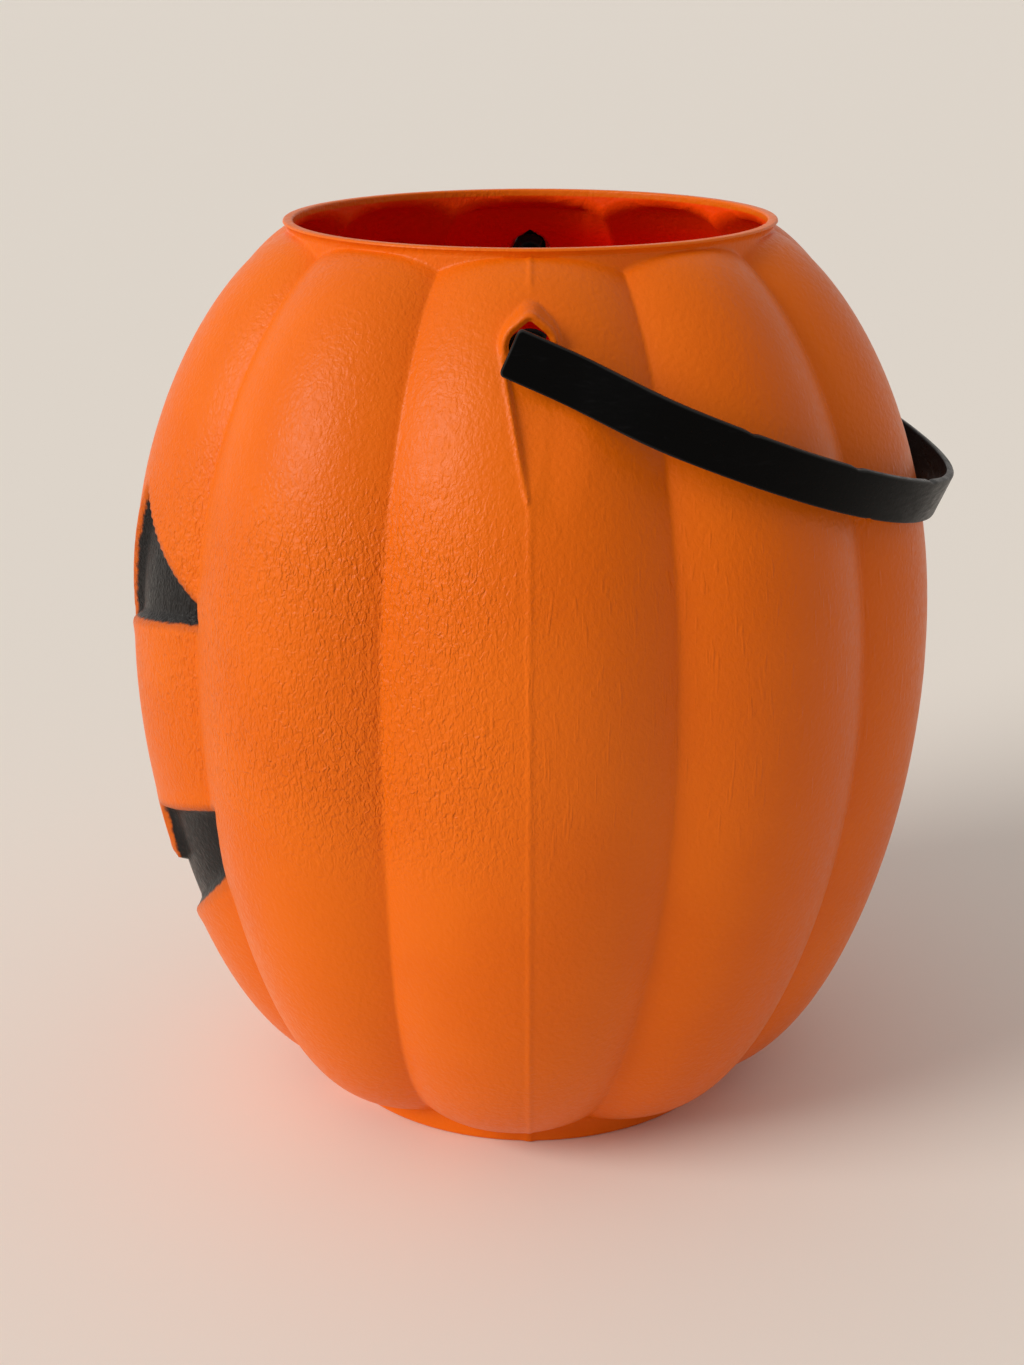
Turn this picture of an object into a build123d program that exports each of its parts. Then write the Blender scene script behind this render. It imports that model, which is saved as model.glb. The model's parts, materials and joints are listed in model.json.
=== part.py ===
from build123d import *

import math
import os

# Pumpkin candy pail: a lobed hollow moulding and a strap handle that snaps into it. Lengths in millimetres.
# Frame: +Z up, origin at the centre of the foot on the floor, carved face to -Y, handle pivot along X.

# Pail body
PAIL_HEIGHT = 210.0  # floor to the top of the rim
WALL = 1.5  # wall of the moulding
BELLY_RADIUS = 94.6  # lobe crests at the widest height
BELLY_HEIGHT = 111.0  # widest height above the floor
LOBE_DEPTH = 6.0  # crest to groove
SEAM_LOBE_ANGLE = 40.0  # the two lobes under the handle ends, in degrees
LOBES_PER_SIDE = 4  # narrower lobes between those two, front and back alike
LOWER_ROUNDNESS = 1.81  # exponents of the body's profile below and above the belly
LOWER_FULLNESS = 0.56
UPPER_ROUNDNESS = 2.29
UPPER_FULLNESS = 0.72
GROOVE_LEAN_ANGLE = 6.0  # how far the grooves bend towards the face as they near the foot
STATIONS = 9  # sections of the body on each side of the belly

# Foot and collar
FOOT_RADIUS = 51.4
FOOT_HEIGHT = 4.4  # floor to the underside of the lobes
FOOT_RING_WIDTH = 6.0
BASE_PUSH_UP = 3.0  # the base's rise inside the foot ring
COLLAR_RADIUS = 55.0
COLLAR_HEIGHT = 2.0  # top of the lobes to the top of the rim
LIP_OVERHANG = 0.8
LIP_HEIGHT = 1.2
LIP_ROUND = 0.5

# Handle strap
PIVOT_DROP = 18.0  # top of the rim to the pivot
HANDLE_REACH = 105.0  # pivot to the outer face of the grip
STRAP_WIDTH = 10.0
STRAP_THICKNESS = 1.8
STRAP_CLEARANCE = 1.5  # turning strap end to the lobe below the pivot
STRAP_END = 4.4  # pivot to the strap's square end
STRAP_CORNER = 1.0
PAD_LENGTH = 5.0  # flat stretch from the pivot towards the grip
BEND_RADIUS = 25.0  # where the strap leaves its flat end
SHOULDER_RADIUS = 25.0  # where the leg turns into the bow
SPLAY_ANGLE = 18.0  # of the legs, outwards
BOW_START_ANGLE = 11.0  # of the bow's ends, inwards
REST_CLEARANCE = 0.4  # grip to the lobes at the back, on which it comes to rest

# Handle studs and their holes
NECK_RADIUS = 2.7
NECK_CLEARANCE = 0.3  # neck to the bottom of its hole, where the handle's weight rests
HOLE_RADIUS = 4.2
HOLE_TIP_RADIUS = 0.8  # the hole narrows upwards to this
HOLE_TIP_RISE = 4.4  # hole's centre to the centre of that tip
HEAD_RADIUS = 4.7
HEAD_FLAT = 1.8  # pivot to the head's straight side
HEAD_THICKNESS = 2.4
HEAD_TIP_RADIUS = 3.4
HEAD_CLEARANCE = 0.4  # head to the wall inside, and to the pocket round it

# Handle pockets
HOOD_RIM = 1.6  # hole to the outside of the hood
HOOD_STAND = 0.7  # the flat face round the hole, beyond the lobe's crest
SCOOP_RADIUS = 60.0
SCOOP_SHIFT = 1.0  # from the seam towards the back
SCOOP_TOP_DEPTH = 0.5  # below the lobe's crest at the hole
SCOOP_LENGTH = 27.0  # hole to the scoop's lower end, measured in height

# Carved face
RELIEF_DEPTH = 2.4
EYE_HEIGHT = 121.0  # floor to the eyes' lower edge
EYE_TALL = 33.0
EYE_WIDE = 36.0
EYE_GAP = 36.0  # between the eyes' inner corners
NOSE_HEIGHT = 98.0
NOSE_TALL = 17.0
NOSE_WIDE = 19.0
MOUTH_HEIGHT = 88.0  # floor to the mouth's corners
MOUTH_WIDE = 114.0
MOUTH_DROP = 45.0  # corners to the lowest point
MOUTH_TOP_DROP = 14.0
TOOTH_WIDE = 15.0
TOOTH_TALL = 12.0
TOOTH_SPREAD = 23.0  # of the two upper teeth from the middle
FACE_ROUND = 1.5

OVERRUN = 1.0  # cuts run this far past the material
REST_SAMPLES = 60  # points along the strap that are tried against the pail
REST_SEARCH_ANGLES = (-30.0, 60.0)  # below level, in degrees

# Heights worked out from the sizes above
LOBE_TOP = PAIL_HEIGHT - COLLAR_HEIGHT
GROOVE_ROOM = LOBE_DEPTH * 2 / 3  # foot and collar reach this far behind the lobes' ends, past the grooves
PIVOT_HEIGHT = PAIL_HEIGHT - PIVOT_DROP
HOLE_HEIGHT = PIVOT_HEIGHT - NECK_RADIUS - NECK_CLEARANCE + HOLE_RADIUS


def swell(rise_share, roundness, fullness):
    """How far the body has swollen from its end towards the belly, from 0 to 1."""
    return (1 - (1 - rise_share) ** roundness) ** fullness


def body_station(side, rise_share):
    """(height, crest radius) of the body; side is -1 below the belly and 1 above it."""
    if side < 0:
        end_height, end_radius = FOOT_HEIGHT, FOOT_RADIUS
        full = swell(rise_share, LOWER_ROUNDNESS, LOWER_FULLNESS)
    else:
        end_height, end_radius = LOBE_TOP, COLLAR_RADIUS
        full = swell(rise_share, UPPER_ROUNDNESS, UPPER_FULLNESS)
    height = end_height + (BELLY_HEIGHT - end_height) * rise_share
    crest = end_radius + (BELLY_RADIUS - end_radius) * full
    return height, crest


def body_normal(side, rise_share):
    """Outward normal of the crest's profile, as its radial and upward parts."""
    if rise_share == 0:
        return 0.0, float(side)
    if rise_share == 1:
        return 1.0, 0.0
    step_share = rise_share / 1000
    low_height, low_crest = body_station(side, rise_share - step_share)
    high_height, high_crest = body_station(side, rise_share + step_share)
    rise = abs(high_height - low_height)
    run = high_crest - low_crest
    length = math.hypot(rise, run)
    return rise / length, side * run / length


def crest_radius(height):
    """Radius of the lobes' crests at a height."""
    if height < BELLY_HEIGHT:
        return body_station(-1, (height - FOOT_HEIGHT) / (BELLY_HEIGHT - FOOT_HEIGHT))[1]
    return body_station(1, (LOBE_TOP - height) / (LOBE_TOP - BELLY_HEIGHT))[1]


# Distances from the pail's axis, along X, of what the handle's ends meet
HOOD_ROOT = COLLAR_RADIUS  # the hood, its pocket and its hole start inside the cavity
HOOD_FACE = crest_radius(HOLE_HEIGHT) + HOOD_STAND
POCKET_FLOOR = HOOD_FACE - WALL
END_SWEEP = math.hypot(STRAP_END, STRAP_WIDTH / 2)
STRAP_OFFSET = crest_radius(PIVOT_HEIGHT - END_SWEEP) + STRAP_CLEARANCE


def grooves(side, rise_share):
    """Directions of the grooves in degrees, going round from the one before +X."""
    side_angle = (180 - SEAM_LOBE_ANGLE) / LOBES_PER_SIDE
    lean = GROOVE_LEAN_ANGLE * (1 - rise_share) ** 2 if side < 0 else 0
    found = []
    for half_turn in (0, 180):
        found.append(half_turn - SEAM_LOBE_ANGLE / 2)
        for place in range(LOBES_PER_SIDE):
            found.append(half_turn + SEAM_LOBE_ANGLE / 2 + place * side_angle)
    return [direction - lean * math.cos(math.radians(direction)) for direction in found]


def polar(radius, degrees, height):
    angle = math.radians(degrees)
    return Vector(radius * math.cos(angle), radius * math.sin(angle), height)


def body_section(side, rise_share, inset):
    """One level section of the body, set in by a wall: an arc for each lobe, meeting in the grooves."""
    height, crest = body_station(side, rise_share)
    out_part, up_part = body_normal(side, rise_share)
    level = height - inset * up_part
    crest -= inset * out_part
    turns = grooves(side, rise_share)
    arcs = []
    for start_turn, end_turn in zip(turns, turns[1:] + [turns[0] + 360]):
        start = polar(crest - LOBE_DEPTH, start_turn, level)
        through = polar(crest, (start_turn + end_turn) / 2, level)
        end = polar(crest - LOBE_DEPTH, end_turn, level)
        arcs.append(ThreePointArc(start, through, end))
    return Face(Wire(arcs))


def lobed_body(inset):
    """The body's lobed form, set in from the outside by a wall or a relief depth."""
    shares = [(step / STATIONS) ** 2 for step in range(STATIONS + 1)]
    sections = [body_section(-1, share, inset) for share in shares]
    sections += [body_section(1, share, inset) for share in reversed(shares[:-1])]
    return loft(sections)


def foot(inset):
    """The foot's plug, with the base's push-up cut from below."""
    push_up_radius = FOOT_RADIUS - FOOT_RING_WIDTH
    plug = Pos(0, 0, inset) * Cylinder(
        FOOT_RADIUS - inset,
        FOOT_HEIGHT + GROOVE_ROOM,
        align=(Align.CENTER, Align.CENTER, Align.MIN),
    )
    dome = Cone(
        push_up_radius + inset,
        push_up_radius - BASE_PUSH_UP + inset,
        BASE_PUSH_UP,
        align=(Align.CENTER, Align.CENTER, Align.MIN),
    )
    return plug - Pos(0, 0, inset) * dome


def collar():
    """The neck above the lobes with its rolled lip, still without its bore."""
    root = LOBE_TOP - GROOVE_ROOM
    lip_radius = COLLAR_RADIUS + LIP_OVERHANG
    lip_root = PAIL_HEIGHT - LIP_HEIGHT
    outline = Polyline(
        (0, root),
        (COLLAR_RADIUS, root),
        (COLLAR_RADIUS, lip_root - LIP_OVERHANG),
        (lip_radius, lip_root),
        (lip_radius, PAIL_HEIGHT),
        (0, PAIL_HEIGHT),
        close=True,
    )
    half = make_face(outline)
    rim_corner = half.vertices().sort_by(Axis.X)[-2:].sort_by(Axis.Y)[-1]
    half = fillet(rim_corner, LIP_ROUND)
    return revolve(Plane.XZ * half, Axis.Z)


def mouth():
    """The bore of the collar, with its upper edge eased."""
    bore_radius = COLLAR_RADIUS - WALL
    root = LOBE_TOP - WALL - GROOVE_ROOM
    bore = Pos(0, 0, root) * Cylinder(
        bore_radius,
        PAIL_HEIGHT + OVERRUN - root,
        align=(Align.CENTER, Align.CENTER, Align.MIN),
    )
    eased = Pos(0, 0, PAIL_HEIGHT - LIP_ROUND) * Cone(
        bore_radius,
        bore_radius + LIP_ROUND,
        LIP_ROUND,
        align=(Align.CENTER, Align.CENTER, Align.MIN),
    )
    return bore + eased


def rod(side, height, radius, start, end):
    """A round rod along X on one side of the pail, between two distances from its axis."""
    at = Plane(origin=(side * start, 0, height), z_dir=(side, 0, 0))
    return at * Cylinder(radius, end - start, align=(Align.CENTER, Align.CENTER, Align.MIN))


def hood(side):
    """The round hood that carries the handle's hole on the sloping shoulder."""
    return rod(side, HOLE_HEIGHT, HOLE_RADIUS + HOOD_RIM, HOOD_ROOT, HOOD_FACE)


def head_pocket(side):
    """The hollow behind the hood, in which the stud's head turns."""
    return rod(side, PIVOT_HEIGHT, HEAD_RADIUS + HEAD_CLEARANCE, HOOD_ROOT, POCKET_FLOOR)


def handle_hole(side):
    """A flame-shaped hole along X: round below, where the neck turns, and narrowing to a tip above."""
    tip = Pos(0, HOLE_TIP_RISE) * Circle(HOLE_TIP_RADIUS)
    flame = make_hull(Circle(HOLE_RADIUS).edges() + tip.edges())
    at = Plane(origin=(side * HOOD_ROOT, 0, HOLE_HEIGHT), x_dir=(0, side, 0), z_dir=(side, 0, 0))
    return extrude(at * flame, BELLY_RADIUS - HOOD_ROOT)


def scoop(side, grown):
    """A shallow tilted gouge below the hole, which gives the strap's end room to turn."""
    low_height = HOLE_HEIGHT - SCOOP_LENGTH
    upper = Vector(crest_radius(HOLE_HEIGHT) - SCOOP_TOP_DEPTH, 0, HOLE_HEIGHT)
    lower = Vector(crest_radius(low_height), 0, low_height)
    along = (upper - lower).normalized()
    outward = Vector(along.Z, 0, -along.X)
    middle = lower + outward * SCOOP_RADIUS
    length = SCOOP_LENGTH / along.Z
    start = middle - along * length
    axis = Plane(origin=(side * start.X, SCOOP_SHIFT, start.Z), z_dir=(side * along.X, 0, along.Z))
    gouge = axis * Cylinder(
        SCOOP_RADIUS + grown,
        2 * length,
        align=(Align.CENTER, Align.CENTER, Align.MIN),
    )
    return gouge


def eye(side):
    inner = EYE_GAP / 2
    corners = [
        (side * inner, EYE_HEIGHT),
        (side * (inner + EYE_WIDE), EYE_HEIGHT + EYE_TALL / 4),
        (side * (inner + EYE_WIDE / 3), EYE_HEIGHT + EYE_TALL),
    ]
    return make_face(Polyline(corners, close=True))


def nose():
    corners = [
        (-NOSE_WIDE / 2, NOSE_HEIGHT),
        (NOSE_WIDE / 2, NOSE_HEIGHT),
        (0, NOSE_HEIGHT + NOSE_TALL),
    ]
    return make_face(Polyline(corners, close=True))


def mouth_curve_height(drop, across):
    """Height of the mouth's upper or lower curve at a distance from the middle."""
    half = MOUTH_WIDE / 2
    radius = (half**2 + drop**2) / (2 * drop)
    return MOUTH_HEIGHT + radius - drop - math.sqrt(radius**2 - across**2)


def grin():
    """A crescent with two upper teeth and one lower tooth left standing."""
    half = MOUTH_WIDE / 2
    left = (-half, MOUTH_HEIGHT)
    right = (half, MOUTH_HEIGHT)
    lower = ThreePointArc(left, (0, MOUTH_HEIGHT - MOUTH_DROP), right)
    upper = ThreePointArc(right, (0, MOUTH_HEIGHT - MOUTH_TOP_DROP), left)
    crescent = make_face([lower, upper])
    for side in (-1, 1):
        edge = mouth_curve_height(MOUTH_TOP_DROP, TOOTH_SPREAD)
        tooth = Pos(side * TOOTH_SPREAD, edge) * Rectangle(TOOTH_WIDE, 2 * TOOTH_TALL)
        crescent -= tooth
    low_edge = mouth_curve_height(MOUTH_DROP, 0)
    return crescent - Pos(0, low_edge) * Rectangle(TOOTH_WIDE, 2 * TOOTH_TALL)


def face_prisms(grown):
    """Prisms of the eyes, nose and mouth along Y through the front wall, widened for the bumps inside."""
    prisms = []
    for flat in (eye(-1), eye(1), nose(), grin()):
        flat = fillet(flat.vertices(), FACE_ROUND)
        if grown:
            flat = offset(flat, amount=grown, kind=Kind.INTERSECTION)
        prisms.append(extrude(Plane.XZ * flat, BELLY_RADIUS + OVERRUN))
    return prisms


def pail_shell():
    outer = lobed_body(0) + foot(0) + collar()
    relief_floor = lobed_body(RELIEF_DEPTH)
    for prism in face_prisms(0):
        outer -= prism - relief_floor
    inner = lobed_body(WALL) + foot(WALL)
    bump_top = lobed_body(WALL + RELIEF_DEPTH)
    for prism in face_prisms(WALL):
        inner -= prism - bump_top
    for side in (-1, 1):
        outer = outer - scoop(side, 0) + hood(side)
        inner = inner - scoop(side, WALL) + head_pocket(side)
    shell = outer - inner - mouth()
    return shell - handle_hole(-1) - handle_hole(1)


def strap_path():
    """Middle line of the strap's half from its square end to the grip, lying in XY with the pivot on X."""
    middle_offset = STRAP_OFFSET + STRAP_THICKNESS / 2
    splay = math.radians(SPLAY_ANGLE)
    bow_start = math.radians(BOW_START_ANGLE)
    reach = HANDLE_REACH - STRAP_THICKNESS / 2
    turn_out = BEND_RADIUS * (1 - math.cos(splay))
    turn_along = BEND_RADIUS * math.sin(splay)
    shoulder_out = SHOULDER_RADIUS * (math.cos(bow_start) - math.cos(splay))
    shoulder_along = SHOULDER_RADIUS * (math.sin(bow_start) + math.sin(splay))
    fixed_out = middle_offset + turn_out + shoulder_out
    fixed_along = PAD_LENGTH + turn_along + shoulder_along
    bow_ratio = (1 - math.sin(bow_start)) / math.cos(bow_start)
    leg = (reach - fixed_along - fixed_out * bow_ratio) / (math.cos(splay) + math.sin(splay) * bow_ratio)
    bow_radius = (fixed_out + leg * math.sin(splay)) / math.cos(bow_start)
    heading = (math.sin(splay), math.cos(splay))
    pad = Line((middle_offset, -STRAP_END), (middle_offset, PAD_LENGTH))
    bend = JernArc(pad @ 1, (0, 1), BEND_RADIUS, -SPLAY_ANGLE)
    straight = PolarLine(bend @ 1, leg, direction=heading)
    shoulder = JernArc(straight @ 1, heading, SHOULDER_RADIUS, SPLAY_ANGLE + BOW_START_ANGLE)
    bow = JernArc(shoulder @ 1, shoulder % 1, bow_radius, 90 - BOW_START_ANGLE)
    half = Curve() + [pad, bend, straight, shoulder, bow]
    return Wire(half.edges() + mirror(half, about=Plane.YZ).edges())


def strap_band():
    """The flat band swept along its path, with the corners of its square ends rounded."""
    path = strap_path()
    start = Plane(
        origin=(STRAP_OFFSET + STRAP_THICKNESS / 2, -STRAP_END, 0),
        x_dir=(1, 0, 0),
        z_dir=(0, 1, 0),
    )
    band = sweep(start * Rectangle(STRAP_THICKNESS, STRAP_WIDTH), path)
    end_edges = band.edges().filter_by(Axis.X).group_by(Axis.Y)[0]
    return fillet(end_edges, STRAP_CORNER)


def stud(side):
    """A round neck and a D-shaped head, pointing from the strap towards the pail's axis."""
    shoulder = POCKET_FLOOR - HEAD_CLEARANCE
    neck = rod(side, 0, NECK_RADIUS, shoulder - HEAD_THICKNESS / 2, STRAP_OFFSET)
    tip = Plane(origin=(side * (shoulder - HEAD_THICKNESS), 0, 0), z_dir=(side, 0, 0))
    head = tip * Cone(
        HEAD_TIP_RADIUS,
        HEAD_RADIUS,
        HEAD_THICKNESS,
        align=(Align.CENTER, Align.CENTER, Align.MIN),
    )
    past_flat = Pos(side * shoulder, HEAD_FLAT, 0) * Box(
        2 * HEAD_THICKNESS + OVERRUN,
        HEAD_RADIUS,
        2 * HEAD_RADIUS,
        align=(Align.CENTER, Align.MIN, Align.CENTER),
    )
    return neck + (head - past_flat)


def rest_room(path, drop):
    """Least room between the lowered strap's lower edge and the lobes' crests; drop is degrees below level."""
    tilt = math.radians(drop)
    rooms = []
    for step in range(REST_SAMPLES + 1):
        point = path @ (step / REST_SAMPLES)
        back = point.Y * math.cos(tilt) - STRAP_WIDTH / 2 * math.sin(tilt)
        height = PIVOT_HEIGHT - point.Y * math.sin(tilt) - STRAP_WIDTH / 2 * math.cos(tilt)
        if height < LOBE_TOP:
            rooms.append(math.hypot(point.X, back) - crest_radius(height) - STRAP_THICKNESS / 2)
    return min(rooms)


def rest_drop_angle():
    """How far below level the handle comes to rest on the lobes at the back, in degrees, by halving."""
    path = strap_path()
    free, blocked = REST_SEARCH_ANGLES
    for _ in range(REST_SAMPLES):
        middle = (free + blocked) / 2
        if rest_room(path, middle) < REST_CLEARANCE:
            blocked = middle
        else:
            free = middle
    return free


def handle_strap():
    handle = strap_band() + stud(-1) + stud(1)
    drop = rest_drop_angle()
    print(f"the handle rests {drop:.2f} degrees below level")
    return Pos(0, 0, PIVOT_HEIGHT) * Rot(-drop, 0, 0) * handle


def main():
    os.makedirs("parts", exist_ok=True)
    nodes = {"pail_shell": pail_shell(), "handle_strap": handle_strap()}
    for name, solid in nodes.items():
        export_step(solid, f"parts/{name}.step")


main()
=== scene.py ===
import json
import math

import bmesh
import bpy
import numpy as np
from mathutils import Matrix, Vector


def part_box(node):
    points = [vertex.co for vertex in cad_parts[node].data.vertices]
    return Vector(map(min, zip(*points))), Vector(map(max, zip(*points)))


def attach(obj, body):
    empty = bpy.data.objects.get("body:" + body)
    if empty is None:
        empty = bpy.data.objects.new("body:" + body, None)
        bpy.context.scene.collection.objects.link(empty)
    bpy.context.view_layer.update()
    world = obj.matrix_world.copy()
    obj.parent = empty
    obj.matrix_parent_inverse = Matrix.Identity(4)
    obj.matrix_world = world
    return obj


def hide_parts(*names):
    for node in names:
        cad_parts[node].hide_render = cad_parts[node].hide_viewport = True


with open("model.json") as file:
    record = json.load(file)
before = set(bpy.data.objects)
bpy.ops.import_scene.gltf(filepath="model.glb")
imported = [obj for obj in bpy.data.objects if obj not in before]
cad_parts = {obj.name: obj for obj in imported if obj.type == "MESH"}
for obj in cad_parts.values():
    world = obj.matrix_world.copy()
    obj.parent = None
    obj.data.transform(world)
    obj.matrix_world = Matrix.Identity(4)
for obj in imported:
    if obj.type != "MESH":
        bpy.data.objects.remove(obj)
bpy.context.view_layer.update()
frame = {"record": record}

# Lengths are millimetres in the part's own frame and angles are degrees; meshes are written in metres.
MM = 0.001
PAIL_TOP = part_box("pail_shell")[1]
HANDLE_PIVOT = frame["record"]["behaviour"]["joints"][0]["pos_m"]

# Pail body
PAIL_HEIGHT = PAIL_TOP[2] / MM
BELLY_RADIUS = PAIL_TOP[0] / MM
BELLY_HEIGHT = 111.0
WALL = 1.5
LOBE_DEPTH = 6.0
SEAM_LOBE_ANGLE = 40.0
LOBES_PER_SIDE = 4
LOWER_ROUNDNESS, LOWER_FULLNESS = 1.81, 0.56
UPPER_ROUNDNESS, UPPER_FULLNESS = 2.29, 0.72
GROOVE_LEAN_ANGLE = 6.0
GROOVE_SOFTNESS = 0.45  # how far the grooves' creases are rounded
WAVINESS = 0.10  # uneven cooling of the wall
WAVES = [  # its waves: lengths along x, y and z, and phase
    (13.0, math.inf, 21.0, 0.0),
    (math.inf, 11.0, -17.0, 1.3),
    (19.0, 19.0, 9.0, 0.4),
]

# Foot and collar
FOOT_RADIUS = 51.4
FOOT_HEIGHT = 4.4
FOOT_RING_WIDTH = 6.0
FOOT_EDGE = 0.8
BASE_PUSH_UP = 3.0
COLLAR_RADIUS = 55.0
COLLAR_HEIGHT = 2.0
LIP_OVERHANG = 0.8
LIP_ROUND = 0.5
LOBE_TOP = PAIL_HEIGHT - COLLAR_HEIGHT
GROOVE_ROOM = LOBE_DEPTH * 2 / 3
END_SOFTNESS = 0.7  # where the grooves run on to the foot and the collar

# Mould seam
SEAM_RISE = 0.22
SEAM_WIDTH = 0.6
SEAM_NUB_RISE = 0.5  # on the foot, where the mould was pinched
KEEL_RISE, KEEL_WIDTH = 0.12, 6.0  # the wall's slight peak along the seam

# Handle strap and studs
PIVOT_HEIGHT = HANDLE_PIVOT[2] / MM
HANDLE_REACH = 105.0
STRAP_WIDTH = 10.0
STRAP_THICKNESS = 1.8
STRAP_CLEARANCE = 1.5
STRAP_END = 4.4
STRAP_CORNER = 1.0
STRAP_EDGE = 0.4
EDGE_RUB_AND_HIGHLIGHT = 0.45  # how far the edges' lighter grey, partly rubbing and partly a painted highlight, reaches on to the flats
SINK_DEPTH = 0.16  # dimple of the strap over each stud
PAD_LENGTH = 5.0
BEND_RADIUS = 25.0
SHOULDER_RADIUS = 25.0
SPLAY_ANGLE = 18.0
BOW_START_ANGLE = 11.0
REST_DROP_ANGLE = 23.82
NECK_RADIUS = 2.7
NECK_CLEARANCE = 0.3
HOLE_RADIUS = 4.2
HOLE_TIP_RADIUS = 0.8
HOLE_TIP_RISE = 4.4
HEAD_RADIUS = 4.7
HEAD_FLAT = 1.8
HEAD_THICKNESS = 2.4
HEAD_TIP_RADIUS = 3.4
HEAD_CLEARANCE = 0.4

# Roundings of a stud: places along it, and what they add to a radius
TIP_ROUNDING = [(0.0, -0.9), (0.12, -0.3), (0.45, 0.1)]  # from the tip, on the tip's radius
HEAD_ROUNDING = [(-0.5, -0.12), (-0.15, 0.0), (0.0, -0.2)]  # from the shoulder, on the head's radius
NECK_FILLET = 0.3
ROOT_FLARE = [(-0.7, 0.0), (-0.2, 0.25), (0.05, 0.62)]  # from the strap, on the neck's radius
FLAT_STEP = 0.2  # between the head's flat and the neck's fillet

# Nicks in the strap's edges: place along it, upper or lower edge, depth and length
NICKS = [
    (50.6, 1, 0.35, 1.0),
    (79.3, 1, 0.45, 1.2),
    (111.6, 1, 0.4, 1.4),
    (90.0, -1, 0.25, 1.0),
    (196.0, 1, 0.3, 1.1),
]

# Handle pockets
HOOD_RIM = 1.6
HOOD_STAND = 0.7
HOOD_EDGE = 0.4
HOOD_ROLL = 0.45  # how far its rim rolls out round the hole
HOOD_STEEPNESS = 7.0
HOOD_SOFTNESS = 1.0
SCOOP_RADIUS = 60.0
SCOOP_SHIFT = 1.0
SCOOP_TOP_DEPTH = 0.5
SCOOP_LENGTH = 27.0
SCOOP_EDGE = 5.0  # width over which its rounding changes
SCOOP_CRISP, SCOOP_SOFT = 0.4, 2.4  # rounding of its edge towards the face and towards the back
POCKET_STEP = 1.1  # width of the pocket's edge towards the face
BEAD_RISE, BEAD_SPREAD = 0.34, 0.6  # the bead along that edge
HOLE_HEIGHT = PIVOT_HEIGHT - NECK_RADIUS - NECK_CLEARANCE + HOLE_RADIUS
POCKET_HALF_WIDTH = 16.0  # what the pocket changes, each side of the seam
POCKET_FADE = 3.0

# Carved face
RELIEF_DEPTH = 2.4
RELIEF_SLOPE = 1.7  # width of the recess's sloping edge
RELIEF_BEAD = 0.3  # soft raised edge round each recess
BEAD_WIDTH = 1.6
EYE_HEIGHT, EYE_TALL, EYE_WIDE, EYE_GAP = 121.0, 33.0, 36.0, 36.0
NOSE_HEIGHT, NOSE_TALL, NOSE_WIDE = 98.0, 17.0, 19.0
MOUTH_HEIGHT, MOUTH_WIDE, MOUTH_DROP, MOUTH_TOP_DROP = 88.0, 114.0, 45.0, 14.0
TOOTH_WIDE, TOOTH_TALL, TOOTH_SPREAD = 15.0, 12.0, 23.0
ARC_STEPS = 28
FAR_FROM_FACE = 20.0  # stands for any distance from the face's outlines that is larger

# Spacing of the meshes' points: columns in degrees round the pail, rows by height
FINE_COLUMN, FACE_COLUMN, WIDE_COLUMN = 0.28, 0.9, 1.4
FACE_START_ANGLE, FACE_END_ANGLE = 215.0, 325.0
SEAM_FINE_ANGLE, SEAM_WIDENING = 6.0, 0.15  # fine so far from a seam, and how fast it widens beyond
GROOVE_FINE_ANGLE, GROOVE_WIDENING = 0.7, 0.3
ROW_SPACING = {
    4: 0.6, 9: 1.0, 14: 1.6, 40: 1.5, 158: 1.5,
    164: 0.6, 184: 0.5, 201: 0.5, 204: 0.55, 208: 0.6,
}
INNER_ROW_STEP = 3  # the inside keeps one row of so many, but all of them at the holes
PAD_ROW, STRAP_ROW = 1.0, 1.4
STUD_STEPS = 48
STRAP_EDGE_STEPS = 3
STRAP_FLAT_POINTS = 9
CURVE_SAMPLES = 20001
PROFILE_SAMPLES = 3000
FLAME_PROBE = 0.001  # step that measures the direction of the hole's outline
FLAME_ROUNDS = 3
PAIL_SMOOTH_ANGLE, STRAP_SMOOTH_ANGLE = 52.0, 48.0  # edges that bend more stay sharp

# Colours
ORANGE = (0.82, 0.152, 0.002, 1)
ORANGE_DEEP = (0.78, 0.136, 0.001, 1)
ORANGE_PALE = (0.86, 0.175, 0.004, 1)
# Painted light: the inside's deep red is not the plastic's own colour; it stands in for light that shines
# through the thin wall and bounces round inside
INSIDE_GLOW_RED = (0.99, 0.010, 0.0008, 1)
PAINT_BLACK = (0.010, 0.009, 0.009, 1)
PAINT_MIST = (0.23, 0.04, 0.006, 1)
STRAP_BLACK = (0.0004, 0.0004, 0.0005, 1)
STRAP_WORN = (0.0025, 0.0025, 0.003, 1)
# Grey of the strap's edges: partly rubbed wear, partly a painted highlight along them
STRAP_RUBBED_AND_HIGHLIT = (0.030, 0.029, 0.029, 1)
FLOOR_PALE = (0.90, 0.855, 0.80, 1)
WINDOW_COLOUR = (1.0, 0.95, 0.88)
SURROUND_COLOUR = (1.0, 0.96, 0.92, 1)

# Surfaces: noise scales are per millimetre; a pair gives where a change begins and where it is complete
TINT_SCALE, TINT_RANGE = 0.022, (0.35, 0.65)
FINE_SCALE, PALE_RANGE, PALE_SHARE = 0.55, (0.55, 0.8), 0.35
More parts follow.
